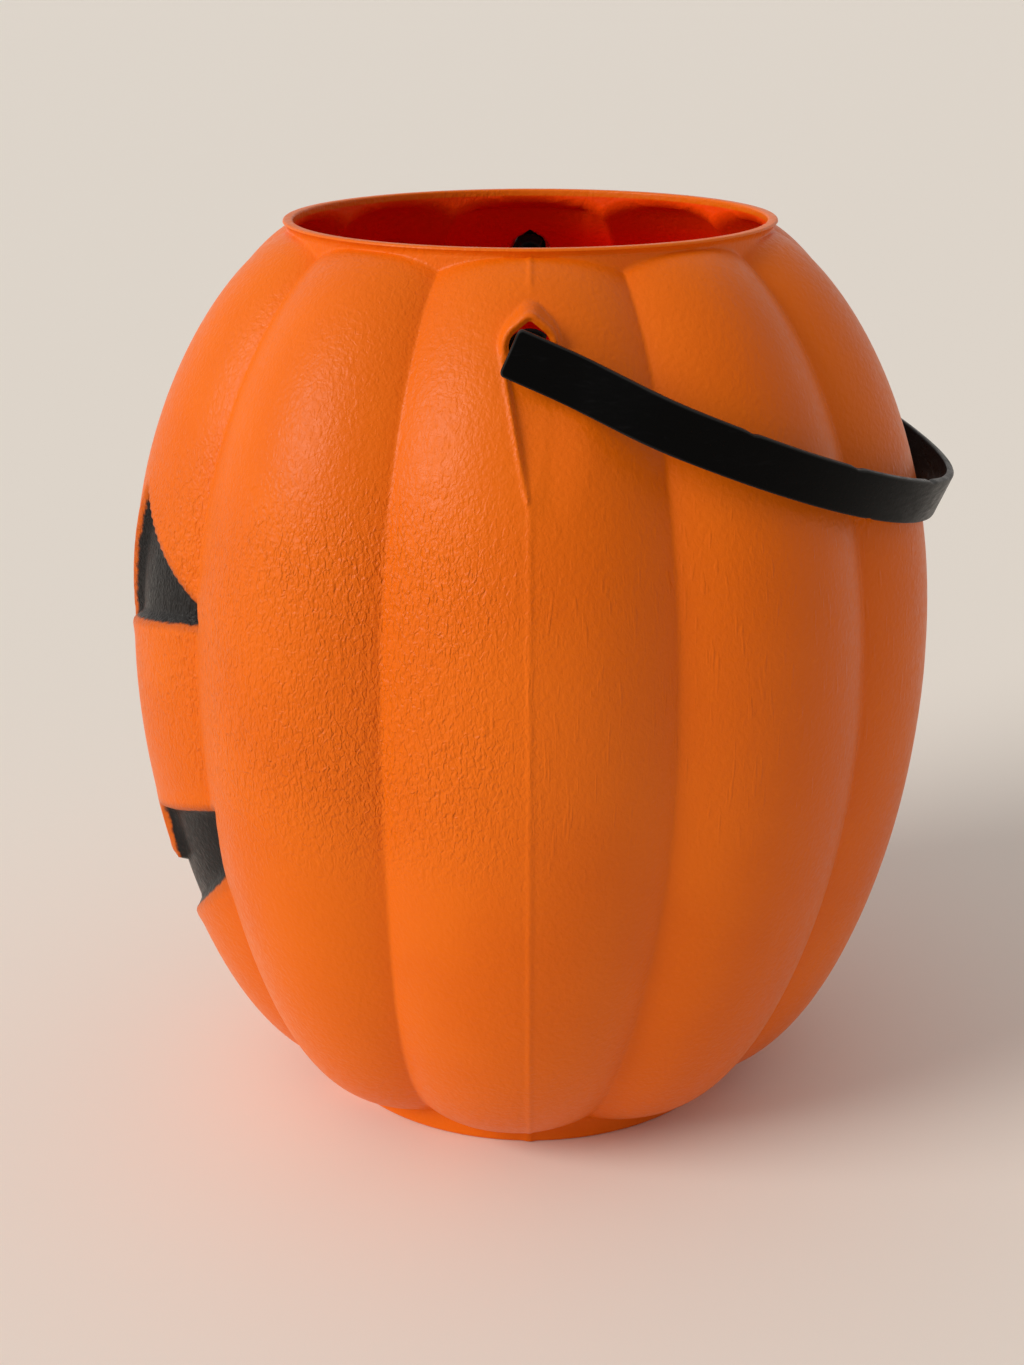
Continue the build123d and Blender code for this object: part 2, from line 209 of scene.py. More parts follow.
# Heights where the painted inside glow begins and where it is complete, and its share of the deep red
# there: less just below the rim
INSIDE_GLOW_HEIGHTS, INSIDE_GLOW_SHARES = (207.0, 195.0), (0.6, 1.0)
PAINT_RAGGEDNESS = 1.1
PAINT_EDGE = (0.15, -0.45)
MIST_EDGE, MIST_SHARE = (2.2, 0.0), 0.35
GRAIN_LOW_HEIGHTS, GRAIN_HIGH_HEIGHTS = (70.0, 108.0), (174.0, 146.0)
GRAIN_HIGH_SHARES = (0.22, 1.0)
GRAIN_SIDES, GRAIN_SIDE_SHARES = (10.0, -20.0), (0.10, 1.0)  # along y, from the back to the face
PATCH_SCALE, PATCH_RANGE, PATCH_SHARES = 0.035, (0.3, 0.55), (0.7, 1.0)
WRINKLE_SCALE, WRINKLE_STRETCH, WRINKLE_DEPTH = 1.05, (1, 1, 0.62), 0.62
STREAK_SCALE, STREAK_STRETCH, STREAK_RANGE, STREAK_DEPTH = 0.85, (1, 1, 0.12), (0.60, 0.76), 0.07
PEEL_SCALE, PEEL_DEPTH = 0.85, 0.16
PAIL_ROUGH_RANGE, PAIL_ROUGHNESS, PAIL_SPECULAR = (0.3, 0.75), (0.32, 0.46), 0.17
SCUFF_SCALE, SCUFF_STRETCH, SCUFF_RANGE = 0.9, (0.25, 0.25, 1.2), (0.56, 0.78)
RUB_AND_HIGHLIGHT_RANGE = (0.515, 0.55)  # how pointed the strap's mesh is, from its flats to its edges, where the grey of rubbing and of a painted highlight goes
STRAP_GRAIN_SCALE, STRAP_GRAIN_DEPTH, STRAP_GRAIN_SHARE = 1.1, 0.04, 0.7
STRAP_ROUGH_RANGE, STRAP_ROUGHNESS, STRAP_SPECULAR = (0.3, 0.8), (0.26, 0.44), 0.055
FLOOR_ROUGHNESS, FLOOR_SPECULAR = 0.75, 0.25

# Camera, fitted to the photograph
CAMERA_DISTANCE = 470.0
CAMERA_HEIGHT = 266.0
CAMERA_PITCH, CAMERA_YAW, CAMERA_ROLL = 19.72, 0.53, -0.14
CAMERA_LENS, CAMERA_FRAME = 53.7, 36.0  # focal length, and the frame's height
CAMERA_CLIP = 10.0

# Stage and light
FLOOR_HALF = 30000.0
WINDOW_STRENGTH = 2.03
WINDOW_AZIMUTH = -63.0  # from +X towards the face
WINDOW_ELEVATION = 28.0
WINDOW_SPREAD = 30.0
SURROUND_BRIGHT_SIDE = (0.25, -0.70, 0.67)
SURROUND_DIM, SURROUND_BRIGHT, SURROUND_EDGE = 0.05, 0.58, -0.5
PALE_WALLS = [  # direction, the cosine where it fades out, and strength
    ((-0.35, 0.93, 0.10), 0.55, 0.55),  # beyond the handle
    ((-1.0, 0.0, 0.05), 0.3, 0.38),  # behind the pail
]
BACKDROP = 0.68  # the pale background that the camera and reflections see


def smooth_step(low, high, value):
    share = np.clip((value - low) / (high - low), 0, 1)
    return share * share * (3 - 2 * share)


def smooth_max(a, b, softness):
    blend = np.clip(1 - np.abs(a - b) / softness, 0, 1)
    return np.maximum(a, b) + blend * blend * softness / 4


def smooth_min(a, b, softness):
    return -smooth_max(-a, -b, softness)


def swell(rise_share, roundness, fullness):
    return (1 - (1 - rise_share) ** roundness) ** fullness


def crest_radius(height):
    """Radius of the lobes' crests above the belly."""
    full = swell((LOBE_TOP - height) / (LOBE_TOP - BELLY_HEIGHT), UPPER_ROUNDNESS, UPPER_FULLNESS)
    return COLLAR_RADIUS + (BELLY_RADIUS - COLLAR_RADIUS) * full


HOOD_FACE = float(crest_radius(HOLE_HEIGHT)) + HOOD_STAND
POCKET_FLOOR = HOOD_FACE - WALL
STRAP_OFFSET = float(crest_radius(PIVOT_HEIGHT - math.hypot(STRAP_END, STRAP_WIDTH / 2))) + STRAP_CLEARANCE


# Grid of the pail: rows along the profile, columns round the axis

def graded(start, end, spacing, samples=4000):
    """Places from start to end, set as close as spacing(place) asks."""
    fine = np.linspace(start, end, samples)
    density = 1 / spacing(fine)
    count = np.concatenate([[0], np.cumsum((density[1:] + density[:-1]) / 2 * np.diff(fine))])
    total = max(2, round(count[-1]))
    return np.interp(np.linspace(0, count[-1], total + 1), count, fine)


def column_angles():
    """Angles round the pail: fine at the seams and grooves, medium on the face, wider elsewhere."""

    def spacing(angle):
        stops = [0, 180, FACE_START_ANGLE, FACE_END_ANGLE, 360]
        wide = np.interp(angle, stops, [WIDE_COLUMN, WIDE_COLUMN, FACE_COLUMN, FACE_COLUMN, WIDE_COLUMN])
        from_seam = np.abs((angle + 90) % 180 - 90)
        wide = np.minimum(wide, FINE_COLUMN + SEAM_WIDENING * np.maximum(from_seam - SEAM_FINE_ANGLE, 0))
        for groove in grooves(0.0):
            away = np.abs((angle - groove + 180) % 360 - 180)
            wide = np.minimum(wide, FINE_COLUMN + GROOVE_WIDENING * np.maximum(away - GROOVE_FINE_ANGLE, 0))
        return wide

    return np.concatenate([graded(start, start + 180, spacing)[:-1] for start in (0, 180)])


def leaned(angles, lean):
    """Angles moved towards the face, as the grooves are near the foot; degrees."""
    return angles - lean * np.cos(np.radians(angles))


def grooves(lean):
    """Directions of the grooves in degrees, going round from the one before +X."""
    side_angle = (180 - SEAM_LOBE_ANGLE) / LOBES_PER_SIDE
    found = []
    for half_turn in (0, 180):
        found.append(half_turn - SEAM_LOBE_ANGLE / 2)
        for place in range(LOBES_PER_SIDE):
            found.append(half_turn + SEAM_LOBE_ANGLE / 2 + place * side_angle)
    return [leaned(direction, lean) for direction in found]


def lobe_profile():
    """Rows of the lobed body from foot to collar: height, crest radius and lean of the grooves."""
    fine_share = np.linspace(0, 1, PROFILE_SAMPLES) ** 2
    low_full = swell(fine_share, LOWER_ROUNDNESS, LOWER_FULLNESS)
    high_share = fine_share[::-1][1:]
    high_full = swell(high_share, UPPER_ROUNDNESS, UPPER_FULLNESS)
    height = np.concatenate([
        FOOT_HEIGHT + (BELLY_HEIGHT - FOOT_HEIGHT) * fine_share,
        LOBE_TOP + (BELLY_HEIGHT - LOBE_TOP) * high_share,
    ])
    crest = np.concatenate([
        FOOT_RADIUS + (BELLY_RADIUS - FOOT_RADIUS) * low_full,
        COLLAR_RADIUS + (BELLY_RADIUS - COLLAR_RADIUS) * high_full,
    ])
    lean = GROOVE_LEAN_ANGLE * np.concatenate([(1 - fine_share) ** 2, 0 * high_share])
    along = np.concatenate([[0], np.cumsum(np.hypot(np.diff(height), np.diff(crest)))])

    def spacing(place):
        level = np.interp(place, along, height)
        return np.interp(level, list(ROW_SPACING), list(ROW_SPACING.values()))

    places = graded(0, along[-1], spacing)
    return tuple(np.interp(places, along, values) for values in (height, crest, lean))


def lobed_radius(crest, lean, angles):
    """Radius of each grid point: an arc for each lobe, with the grooves between them softened."""
    crest = crest[:, None]
    groove = crest - LOBE_DEPTH
    turns = [np.radians(turn)[:, None] for turn in grooves(lean)]
    best = np.zeros(angles.shape)
    second = np.zeros(angles.shape)
    for start, end in zip(turns, turns[1:] + [turns[0] + 2 * math.pi]):
        half = (end - start) / 2
        centre = (crest**2 - groove**2) / (2 * (crest - groove * np.cos(half)))
        arc = crest - centre
        off = (np.radians(angles) - start - half + math.pi) % (2 * math.pi) - math.pi
        inside = arc**2 - (centre * np.sin(off)) ** 2
        radius = np.where((inside > 0) & (np.abs(off) < 2 * half),
                          centre * np.cos(off) + np.sqrt(np.maximum(inside, 0)), 0)
        second = np.maximum(second, np.minimum(best, radius))
        best = np.maximum(best, radius)
    return smooth_max(best, second, GROOVE_SOFTNESS)


def grid_normals(points):
    """Outward normals of a grid of rows and closed columns."""
    along = np.gradient(points, axis=0)
    around = np.roll(points, -1, axis=1) - np.roll(points, 1, axis=1)
    normals = np.cross(around, along)
    return normals / np.linalg.norm(normals, axis=2, keepdims=True)


# Carved face: outlines in the XZ plane and the distance to them

def arc_points(drop, reverse):
    """Points of a mouth curve that hangs from the mouth's corners by drop."""
    half = MOUTH_WIDE / 2
    radius = (half**2 + drop**2) / (2 * drop)
    reach = math.asin(half / radius)
    turns = np.linspace(-reach, reach, ARC_STEPS)
    points = np.stack([radius * np.sin(turns), MOUTH_HEIGHT - drop + radius - radius * np.cos(turns)], 1)
    return points[::-1] if reverse else points


def curve_height(drop, across):
    half = MOUTH_WIDE / 2
    radius = (half**2 + drop**2) / (2 * drop)
    return MOUTH_HEIGHT + radius - drop - math.sqrt(radius**2 - across**2)


def rectangle(middle, height):
    """A tooth: a rectangle about a point of the mouth's edge."""
    half = TOOTH_WIDE / 2
    corners = [(-half, -TOOTH_TALL), (half, -TOOTH_TALL), (half, TOOTH_TALL), (-half, TOOTH_TALL)]
    return np.array([(middle + x, height + z) for x, z in corners])


def eye_outline(side):
    inner = EYE_GAP / 2
    return np.array([
        (side * inner, EYE_HEIGHT),
        (side * (inner + EYE_WIDE), EYE_HEIGHT + EYE_TALL / 4),
        (side * (inner + EYE_WIDE / 3), EYE_HEIGHT + EYE_TALL),
    ])


def nose_outline():
    half = NOSE_WIDE / 2
    return np.array([(-half, NOSE_HEIGHT), (half, NOSE_HEIGHT), (0, NOSE_HEIGHT + NOSE_TALL)])


def outline_distance(outline, x, z):
    """Distance to a closed outline, negative inside it."""
    least = np.full(x.shape, np.inf)
    inside = np.zeros(x.shape, bool)
    for (ax, az), (bx, bz) in zip(outline, np.roll(outline, -1, axis=0)):
        run, rise = bx - ax, bz - az
        share = np.clip(((x - ax) * run + (z - az) * rise) / (run * run + rise * rise), 0, 1)
        least = np.minimum(least, np.hypot(x - ax - share * run, z - az - share * rise))
        crosses = (az > z) != (bz > z)
        where = ax + run * (z - az) / (rise or 1)
        inside ^= crosses & (x < where)
    return np.where(inside, -least, least)


def face_distance(points):
    """Distance of each point of the front to the nearest carved outline, negative inside it."""
    x, y, z = points[..., 0], points[..., 1], points[..., 2]
    mouth = np.concatenate([arc_points(MOUTH_DROP, False), arc_points(MOUTH_TOP_DROP, True)[1:-1]])
    found = outline_distance(mouth, x, z)
    teeth = [(side * TOOTH_SPREAD, curve_height(MOUTH_TOP_DROP, TOOTH_SPREAD)) for side in (-1, 1)]
    teeth.append((0.0, curve_height(MOUTH_DROP, 0)))
    for middle, height in teeth:
        found = np.maximum(found, -outline_distance(rectangle(middle, height), x, z))
    for outline in (eye_outline(-1), eye_outline(1), nose_outline()):
        found = np.minimum(found, outline_distance(outline, x, z))
    return np.where(y < 0, np.minimum(found, FAR_FROM_FACE), FAR_FROM_FACE)


def relief(distance):
    """How far the wall stands out by the carved face, with soft edges."""
    bead = RELIEF_BEAD * np.exp(-(((distance - BEAD_WIDTH) / BEAD_WIDTH) ** 2))
    sunk = RELIEF_DEPTH * (1 - smooth_step(-RELIEF_SLOPE, RELIEF_SLOPE / 3, distance))
    return bead - sunk


# Handle pockets: the wall's distance from the axis along X, at a place (y, z) beside the seam

def scoop_floor(y, z):
    """Floor of the shallow tilted gouge below the hole."""
    low_height = HOLE_HEIGHT - SCOOP_LENGTH
    low = np.array([crest_radius(low_height), low_height])
    high = np.array([crest_radius(HOLE_HEIGHT) - SCOOP_TOP_DEPTH, HOLE_HEIGHT])
    along = (high - low) / np.linalg.norm(high - low)
    outward = np.array([along[1], -along[0]])
    inside = np.maximum(SCOOP_RADIUS**2 - (y - SCOOP_SHIFT) ** 2, 0)
    level = low @ outward + SCOOP_RADIUS - np.sqrt(inside)
    return (level - z * outward[1]) / outward[0]


def pocket_wall(x, y, z, inset):
    """The wall with the scoop cut in and the hood, or the head's pocket inside it, raised on it."""
    past = flame_distance(y, z) - HOOD_RIM
    if inset > 0:
        past = np.hypot(y, z - PIVOT_HEIGHT) - HEAD_RADIUS - HEAD_CLEARANCE
    edge = np.clip((past + HOOD_EDGE) / HOOD_EDGE, 0, 1)
    drop = HOOD_EDGE * (1 - np.sqrt(1 - edge**2)) + HOOD_STEEPNESS * np.maximum(past, 0)
    softness = SCOOP_CRISP + (SCOOP_SOFT - SCOOP_CRISP) * smooth_step(0, SCOOP_EDGE, y)
    scooped = smooth_min(x, scoop_floor(y, z) - inset, softness)
    apart = pocket_distance(y, z)
    edged = np.where(y < 0, 1 - smooth_step(-POCKET_STEP, 0, apart), 1)
    scooped = x - (x - scooped) * edged
    if inset > 0:
        return smooth_max(scooped, HOOD_FACE - inset - drop, HOOD_SOFTNESS)
    roll = np.cos(math.pi / 2 * np.clip(1 + 2 * past / HOOD_RIM, -1, 1)) ** 2
    wall = smooth_max(scooped, HOOD_FACE - drop + HOOD_ROLL * roll, HOOD_SOFTNESS)
    return wall + BEAD_RISE * np.exp(-((apart / BEAD_SPREAD) ** 2)) * pocket_bead_share(y, z)


def drop_distance(y, up, radius, tip_radius, rise):
    """Distance to a drop's outline, the hull of a circle and of its tip above it, negative inside."""
    lean = (radius - tip_radius) / rise
    cosine = math.sqrt(1 - lean * lean)
    side = np.abs(y)
    reach = up * cosine - side * lean
    round_part = np.hypot(side, up) - radius
    tip_part = np.hypot(side, up - rise) - tip_radius
    flank = side * cosine + up * lean - radius
    return np.where(reach < 0, round_part, np.where(reach > rise * cosine, tip_part, flank))


def pocket_distance(y, z):
    """Distance to the pocket's edge: round the hood, and narrowing down to a point on the seam."""
    below = drop_distance(y, HOLE_HEIGHT - z, HOLE_RADIUS + HOOD_RIM, SEAM_WIDTH, SCOOP_LENGTH)
    return np.minimum(below, flame_distance(y, z) - HOOD_RIM)


def pocket_bead_share(y, z):
    """1 along the pocket's edge towards the face and over the hood, and 0 towards the back below it."""
    return np.where(y < 0, 1, smooth_step(-NECK_RADIUS, NECK_RADIUS, z - HOLE_HEIGHT))


def pocket_window(points):
    """1 where the pocket shapes the wall, fading to 0 round it."""
    y, z = points[..., 1], points[..., 2]
    low, high = HOLE_HEIGHT - SCOOP_LENGTH - POCKET_FADE, LOBE_TOP - POCKET_FADE
    across = 1 - smooth_step(POCKET_HALF_WIDTH - POCKET_FADE, POCKET_HALF_WIDTH, np.abs(y))
    upward = smooth_step(low - POCKET_FADE, low, z) * (1 - smooth_step(high, high + POCKET_FADE / 2, z))
    return across * upward


def flame_distance(y, z):
    """Distance to the handle hole's outline, negative inside: a drop with its tip upwards."""
    return drop_distance(y, z - HOLE_HEIGHT, HOLE_RADIUS, HOLE_TIP_RADIUS, HOLE_TIP_RISE)


def set_on_flame(y, z):
    """Moves places near the hole's outline on to it."""
    step = FLAME_PROBE
    for _ in range(FLAME_ROUNDS):
        distance = flame_distance(y, z)
        across = (flame_distance(y + step, z) - flame_distance(y - step, z)) / (2 * step)
        upward = (flame_distance(y, z + step) - flame_distance(y, z - step)) / (2 * step)
        y, z = y - distance * across, z - distance * upward
    return y, z


# The pail's mesh

def quarter(centre, radius, start, steps=4):
    """Points of a quarter circle in the profile plane, turning left from an angle."""
    turns = np.radians(np.linspace(start, start + 90, steps + 1))
    return [(centre[0] + radius * math.cos(t), centre[1] + radius * math.sin(t)) for t in turns]


def base_rows():
    """(radius, height) from the middle of the underside out to the lobes."""
    panel_shares = (0.15, 0.35, 0.6, 0.85, 0.97)
    slope_shares = (0, 0.08, 0.3, 0.6, 0.85)
    wall_shares = (0.45, 0.7, 0.88)
    panel = FOOT_RADIUS - FOOT_RING_WIDTH - BASE_PUSH_UP
    flat = [(panel * share, BASE_PUSH_UP) for share in panel_shares]
    slope = [(panel + BASE_PUSH_UP * share, BASE_PUSH_UP * (1 - share)) for share in slope_shares]
    ring_inside = FOOT_RADIUS - FOOT_RING_WIDTH + FOOT_EDGE / 2
    ring = [(ring_inside, 0.0), (FOOT_RADIUS - FOOT_RING_WIDTH / 2, 0.0)]
    edge = quarter((FOOT_RADIUS - FOOT_EDGE, FOOT_EDGE), FOOT_EDGE, -90)
    wall = [(FOOT_RADIUS, FOOT_HEIGHT * share) for share in wall_shares]
    return np.array(flat + slope + ring + edge + wall)


def collar_rows():
    """(radius, height) over the rolled lip and down the bore."""
    neck_shares = (0.1, 0.3, 0.5, 0.7, 0.85)
    lip = COLLAR_RADIUS + LIP_OVERHANG
    bore = COLLAR_RADIUS - WALL
    flare = PAIL_HEIGHT - LIP_ROUND - LOBE_TOP
    neck = [(COLLAR_RADIUS + LIP_OVERHANG * share**2, LOBE_TOP + flare * share) for share in neck_shares]
    outside = quarter((lip - LIP_ROUND, PAIL_HEIGHT - LIP_ROUND), LIP_ROUND, 0)
    inside = quarter((bore + LIP_ROUND, PAIL_HEIGHT - LIP_ROUND), LIP_ROUND, 90)
    down = [(bore, LOBE_TOP + COLLAR_HEIGHT / 3), (bore, LOBE_TOP + COLLAR_HEIGHT / 8)]
    return np.array(neck + outside + inside + down)


def floor_rows():
    """(radius, height) of the inside, from the lobes in to the middle of the floor."""
    slope_shares = (0.9, 0.5, 0.1, 0)
    panel_shares = (0.97, 0.7, 0.4, 0.15)
    wall = FOOT_RADIUS - WALL
    panel = FOOT_RADIUS - FOOT_RING_WIDTH - BASE_PUSH_UP + WALL
    top = BASE_PUSH_UP + WALL
    down = [(wall, FOOT_HEIGHT - FOOT_EDGE / 2), (wall, WALL + FOOT_EDGE), (wall - FOOT_EDGE, WALL)]
    slope = [(panel + BASE_PUSH_UP * share, top - BASE_PUSH_UP * share) for share in slope_shares]
    flat = [(panel * share, top) for share in panel_shares]
    return np.array(down + slope + flat)


def turned(rows, angles):
    """Grid points of round rows."""
    radius, height = rows[:, :1], rows[:, 1:]
    turns = np.radians(angles)
    return np.stack([radius * np.cos(turns), radius * np.sin(turns), height + 0 * turns], 2)


def unevenness(points):
    """Slow waves of the wall, a sum of fixed sine waves."""
    x, y, z = (points[..., axis] for axis in range(3))
    waves = 0
    for x_length, y_length, z_length, phase in WAVES:
        waves = waves + np.sin(x / x_length + y / y_length + z / z_length + phase)
    return WAVINESS * waves / len(WAVES)


def seam_rise(points):
    """The mould seam's low ridge up both sides, broken by the pockets."""
    y, z = points[..., 1], points[..., 2]
    ridge = SEAM_RISE * np.exp(-((y / SEAM_WIDTH) ** 2))
    ridge += KEEL_RISE * np.maximum(1 - np.abs(y) / KEEL_WIDTH, 0)
    pocket = smooth_step(HOLE_HEIGHT - SCOOP_LENGTH, HOLE_HEIGHT - SCOOP_LENGTH + POCKET_FADE, z)
    return ridge * (1 - pocket * (1 - smooth_step(LOBE_TOP - 2 * POCKET_FADE, LOBE_TOP - POCKET_FADE, z)))


def outer_and_inner(columns):
    """The wall's two grids with seam, face and pockets, the inner rows kept, and the face distances."""
    height, crest, lean = lobe_profile()
    angles = leaned(columns[None, :], lean[:, None])
    radius = lobed_radius(crest, lean, angles)
    low = height < FOOT_HEIGHT + GROOVE_ROOM
    high = height > LOBE_TOP - GROOVE_ROOM
    radius[low] = smooth_max(radius[low], FOOT_RADIUS, END_SOFTNESS)
    radius[high] = smooth_max(radius[high], COLLAR_RADIUS, END_SOFTNESS)
    turns = np.radians(angles)
    base = np.stack([radius * np.cos(turns), radius * np.sin(turns), height[:, None] + 0 * radius], 2)
    normals = grid_normals(base)
    distance = face_distance(base)
    outer = base + normals * (relief(distance) + seam_rise(base) + unevenness(base))[..., None]
    inner = base + normals * (relief(distance - WALL) - WALL)[..., None]
    side = np.sign(base[..., 0])
    blend = pocket_window(base)
    y, z = base[..., 1], base[..., 2]
    cut_out = pocket_wall(np.abs(outer[..., 0]), y, z, 0.0)
    cut_in = pocket_wall(np.abs(base[..., 0]) - WALL, y, z, WALL)
    outer[..., 0] += blend * (side * cut_out - outer[..., 0])
    inner_goal = np.stack([side * cut_in, y, z], 2)
    inner += blend[..., None] * (inner_goal - inner)
    in_window = np.abs(height - HOLE_HEIGHT) < HOLE_RADIUS + HOOD_RIM + POCKET_FADE
    kept = in_window | (np.arange(len(height)) % INNER_ROW_STEP == 0)
    kept[[0, -1]] = True
    return outer, inner, kept, distance


def hole_faces(outer):
    """Which faces of the outer grid lie in the two handle holes."""
    y, z = outer[..., 1], outer[..., 2]
    near = (np.abs(z - HOLE_HEIGHT) < 2 * HOLE_RADIUS) & (np.abs(y) < 2 * HOLE_RADIUS)
    centres = (outer[:-1] + outer[1:]) / 2
    centres = (centres + np.roll(centres, -1, axis=1)) / 2
    return (flame_distance(centres[..., 1], centres[..., 2]) < 0) & near[:-1]


def trim_holes(outer, inner, open_faces):
    """Moves the points at the edge of the two holes on to the holes' outline."""
    open_beside = np.zeros(outer.shape[:2], int)
    for rows in (slice(0, -1), slice(1, None)):
        for shift in (0, 1):
            open_beside[rows] += np.roll(open_faces, shift, axis=1)
    edge = (open_beside > 0) & (open_beside < 4)
    y, z = set_on_flame(outer[edge][:, 1], outer[edge][:, 2])
    for grid in (outer, inner):
        grid[edge, 1], grid[edge, 2] = y, z


def foot_grid(angles):
    """Grid of the underside and the foot, with the seam's pinch marks on the foot."""
    foot = turned(base_rows(), angles)
    nub = SEAM_NUB_RISE * np.exp(-((foot[..., 1] / (2 * SEAM_WIDTH)) ** 2)) * (foot[..., 2] > 0)
    on_wall = np.hypot(foot[..., 0], foot[..., 1]) > FOOT_RADIUS - FOOT_EDGE / 2
    foot[..., 0] += np.sign(foot[..., 0]) * nub * on_wall
    return foot


def pail_grid():
    """All rows of the pail, from the underside's middle round to the floor's middle, and its holes."""
    angles = column_angles()
    foot_angles = leaned(angles, GROOVE_LEAN_ANGLE)
    outer, inner, kept, distance = outer_and_inner(angles)
    open_faces = hole_faces(outer)
    trim_holes(outer, inner, open_faces)
    foot = foot_grid(foot_angles)
    collar = turned(collar_rows(), angles)
    floor = turned(floor_rows(), foot_angles)
    inner_rows = np.flatnonzero(kept)[::-1]
    rows = np.concatenate([foot, outer, collar, inner[inner_rows], floor])
    first_outer = len(foot)
    first_inner = first_outer + len(outer) + len(collar)
    inner_row = {row: first_inner + place for place, row in enumerate(inner_rows)}
    apart = np.full(rows.shape[:2], FAR_FROM_FACE)
    apart[first_outer:first_outer + len(outer)] = distance
    inside = np.zeros(rows.shape[:2])
    inside[first_inner - 1:] = 1
    return rows, open_faces, first_outer, inner_row, apart, inside


def quad(row, column, columns):
    """Corners of a grid's face; the last column is joined to the first."""
    after = (column + 1) % columns
    here, above = row * columns, (row + 1) * columns
    return (here + column, here + after, above + after, above + column)


def pail_faces(rows, open_faces, first_outer, inner_row):
    """Faces of the grid, without those in the two holes, whose edges are joined through the wall."""
    count, columns = rows.shape[:2]
    missing = np.zeros((count, columns), bool)
    for row, column in zip(*np.nonzero(open_faces)):
        missing[first_outer + row, column] = True
        missing[inner_row[row + 1], column] = True
    faces = []
    for row in range(count - 1):
        faces += [quad(row, column, columns) for column in np.flatnonzero(~missing[row])]
    for row, column in zip(*np.nonzero(open_faces)):
        after = (column + 1) % columns
        corners = [(row, column), (row, after), (row + 1, after), (row + 1, column)]
        beside = [(row - 1, column), (row, after), (row + 1, column), (row, (column - 1) % columns)]
        for place, (other_row, other_column) in enumerate(beside):
            if not open_faces[other_row, other_column]:
                a, b = corners[place], corners[(place + 1) % 4]
                out_a, out_b = ((first_outer + r) * columns + c for r, c in (a, b))
                in_a, in_b = (inner_row[r] * columns + c for r, c in (a, b))
                faces.append((out_a, out_b, in_b, in_a))
    return faces


def closed_ends(rows, faces):
    """Closes the middle of the underside and of the floor with a fan each, and returns the points."""
    count, columns = rows.shape[:2]
    points = rows.reshape(-1, 3)
    middles = [(0, 0, rows[0, 0, 2]), (0, 0, rows[-1, 0, 2])]
    under, over = len(points), len(points) + 1
    last = (count - 1) * columns
    for column in range(columns):
        after = (column + 1) % columns
        faces.append((under, after, column))
        faces.append((over, last + column, last + after))
    return np.concatenate([points, middles])


def mesh_object(name, points, faces, smooth_angle):
    """A mesh object from points in millimetres, with outward faces, smooth but for edges over an angle."""
    mesh = bpy.data.meshes.new(name)
    mesh.from_pydata([tuple(point) for point in np.asarray(points) * MM], [], faces)
    shape = bmesh.new()
    shape.from_mesh(mesh)
    bmesh.ops.recalc_face_normals(shape, faces=shape.faces)
    shape.to_mesh(mesh)
    shape.free()
    mesh.shade_smooth()
    mesh.set_sharp_from_angle(angle=math.radians(smooth_angle))
    made = bpy.data.objects.new(name, mesh)
    bpy.context.collection.objects.link(made)
    return made


def add_values(mesh, name, values):
    layer = mesh.attributes.new(name, "FLOAT", "POINT")
    layer.data.foreach_set("value", np.asarray(values, np.float32))


def drop_loose_points(mesh):
    shape = bmesh.new()
    shape.from_mesh(mesh)
    bmesh.ops.delete(shape, geom=[point for point in shape.verts if not point.link_faces], context="VERTS")
    shape.to_mesh(mesh)
    shape.free()


def make_pail():
    rows, open_faces, first_outer, inner_row, apart, inside = pail_grid()
    faces = pail_faces(rows, open_faces, first_outer, inner_row)
    points = closed_ends(rows, faces)
    pail = mesh_object("pail_body", points, faces, PAIL_SMOOTH_ANGLE)
    add_values(pail.data, "face_distance", np.append(apart.ravel(), [FAR_FROM_FACE, FAR_FROM_FACE]))
    add_values(pail.data, "inside", np.append(inside.ravel(), [0, 1]))
    drop_loose_points(pail.data)
    return pail


# Handle

def strap_pieces():
    """Length and turn of each stretch of half the strap, from its end to the middle of its bow."""
    splay, bow_start = math.radians(SPLAY_ANGLE), math.radians(BOW_START_ANGLE)
    reach = HANDLE_REACH - STRAP_THICKNESS / 2
    out = STRAP_OFFSET + STRAP_THICKNESS / 2 + BEND_RADIUS * (1 - math.cos(splay))
    out += SHOULDER_RADIUS * (math.cos(bow_start) - math.cos(splay))
    along = PAD_LENGTH + BEND_RADIUS * math.sin(splay)
    along += SHOULDER_RADIUS * (math.sin(bow_start) + math.sin(splay))
    ratio = (1 - math.sin(bow_start)) / math.cos(bow_start)
    leg = (reach - along - out * ratio) / (math.cos(splay) + math.sin(splay) * ratio)
    bow_radius = (out + leg * math.sin(splay)) / math.cos(bow_start)
    return [
        (STRAP_END + PAD_LENGTH, 0.0),
        (BEND_RADIUS * splay, splay),
        (leg, 0.0),
        (SHOULDER_RADIUS * (splay + bow_start), -splay - bow_start),
        (bow_radius * (math.pi / 2 - bow_start), bow_start - math.pi / 2),
    ]


